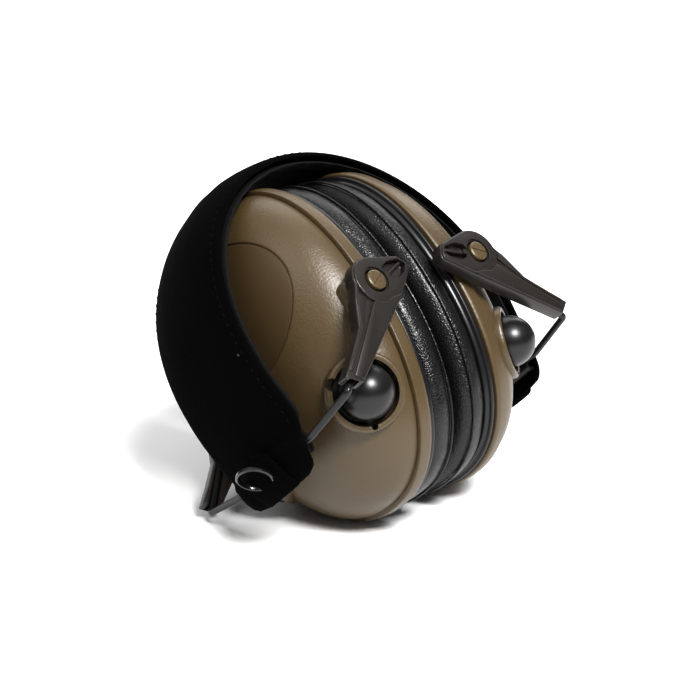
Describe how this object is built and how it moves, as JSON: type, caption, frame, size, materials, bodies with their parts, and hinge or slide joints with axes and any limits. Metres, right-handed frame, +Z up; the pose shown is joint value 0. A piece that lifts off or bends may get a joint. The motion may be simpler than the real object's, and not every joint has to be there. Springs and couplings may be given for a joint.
{
  "type": "folding ear defenders",
  "caption": "Folding electronic ear defenders: two oval cups with ring cushions on wire bails, folded inside a padded headband.",
  "frame": {"origin": "middle of the bounding box's footprint, on the surface that the folded muff rests on", "axes": "+X from the right cup to the left cup, through both ears; +Y away from the front arms and microphones, to the rear; +Z up from the surface, with the muff lying back 42.5 degrees from upright"},
  "size_m": [0.1102, 0.0952, 0.0972],
  "materials": {
    "olive_plastic": "satin moulded, fine texture",
    "nameplate_olive": "satin, slightly darker panel",
    "black_plastic": "satin black",
    "arm_plastic": "satin dark grey, glass filled",
    "leatherette": "glossy black leatherette",
    "band_fabric": "matte black knit over foam",
    "foam": "open cell foam",
    "black_steel": "black satin wire",
    "spring_steel": "bare spring steel",
    "circuit_board": "green laminate",
    "speaker_metal": "satin metal",
    "battery_jacket": "printed jacket, no lettering"
  },
  "bodies": {
    "right_band": {"right_band_cover": "band_fabric", "right_band_lining": "band_fabric", "right_spring_strap": "spring_steel", "right_hinge_sleeve": "black_plastic", "right_press_stud": "black_steel"},
    "right_bail": {"right_wire_bail": "black_steel"},
    "right_arms": {"right_front_arm": "arm_plastic", "right_rear_arm": "arm_plastic", "right_front_pivot_pin": "olive_plastic", "right_rear_pivot_pin": "olive_plastic"},
    "right_cup": {"right_cup_shell": "olive_plastic", "right_cup_rim": "olive_plastic", "right_cushion_plate": "black_plastic", "right_ear_cushion": "leatherette", "right_foam_liner": "foam", "right_nameplate": "nameplate_olive", "right_baffle": "black_plastic", "right_speaker": "speaker_metal", "right_circuit_board": "circuit_board", "right_microphone_windscreen": "black_plastic", "right_microphone_capsule": "speaker_metal"},
    "left_band": {"left_band_cover": "band_fabric", "left_band_lining": "band_fabric", "left_spring_strap": "spring_steel", "left_hinge_sleeve": "black_plastic", "left_press_stud": "black_steel"},
    "left_bail": {"left_wire_bail": "black_steel"},
    "left_arms": {"left_front_arm": "arm_plastic", "left_rear_arm": "arm_plastic", "left_front_pivot_pin": "olive_plastic", "left_rear_pivot_pin": "olive_plastic"},
    "left_cup": {"left_cup_shell": "olive_plastic", "left_cup_rim": "olive_plastic", "left_cushion_plate": "black_plastic", "left_ear_cushion": "leatherette", "left_foam_liner": "foam", "left_nameplate": "nameplate_olive", "left_baffle": "black_plastic", "left_speaker": "speaker_metal", "left_circuit_board": "circuit_board", "left_microphone_windscreen": "black_plastic", "left_microphone_capsule": "speaker_metal", "battery_1": "battery_jacket", "battery_2": "battery_jacket"},
    "volume_knob": {"volume_knob": "black_plastic"},
    "battery_cap": {"battery_cap": "black_plastic"}
  },
  "joints": [
    {"name": "band_flex", "type": "hinge", "parent": "right_band", "child": "left_band", "pos_m": [0, 0.03727, 0.08834], "axis": [0, -0.7373, 0.6756], "range_deg": [0, 52.8], "stiffness_Nm_per_rad": 0.4},
    {"name": "right_fold", "type": "hinge", "parent": "right_band", "child": "right_bail", "pos_m": [-0.04815, -0.02161, 0.02408], "axis": [0, 0.7373, -0.6756], "range_deg": [0, 80.5]},
    {"name": "right_adjust", "type": "slide", "parent": "right_bail", "child": "right_arms", "axis": [0.6896, 0.4892, 0.5339], "range_m": [-0.002, 0.0008]},
    {"name": "right_tilt", "type": "hinge", "parent": "right_arms", "child": "right_cup", "pos_m": [-0.0212, -0.00198, 0.04551], "axis": [0, -0.7373, 0.6756], "range_deg": [0, 106.9]},
    {"name": "left_fold", "type": "hinge", "parent": "left_band", "child": "left_bail", "pos_m": [0.04815, -0.02161, 0.02408], "axis": [0, -0.7373, 0.6756], "range_deg": [0, 80.5]},
    {"name": "left_adjust", "type": "slide", "parent": "left_bail", "child": "left_arms", "axis": [-0.6896, 0.4892, 0.5339], "range_m": [-0.002, 0.0008]},
    {"name": "left_tilt", "type": "hinge", "parent": "left_arms", "child": "left_cup", "pos_m": [0.0212, -0.00198, 0.04551], "axis": [0, 0.7373, -0.6756], "range_deg": [0, 106.9]},
    {"name": "volume_turn", "type": "hinge", "parent": "right_cup", "child": "volume_knob", "pos_m": [-0.0305, 0.00118, 0.01047], "axis": [-0.5498, 0.3722, -0.7478], "range_deg": [0, 270]},
    {"name": "battery_cap_turn", "type": "hinge", "parent": "left_cup", "child": "battery_cap", "pos_m": [0.0305, 0.00118, 0.01047], "axis": [0.5498, 0.3722, -0.7478], "range_deg": [-90, 0]}
  ],
  "couplings": [
    {"joint": "right_fold", "follows": "band_flex", "ratio": 1.5151},
    {"joint": "right_tilt", "follows": "band_flex", "ratio": 2.0152},
    {"joint": "left_fold", "follows": "band_flex", "ratio": 1.5151},
    {"joint": "left_tilt", "follows": "band_flex", "ratio": 2.0152}
  ]
}
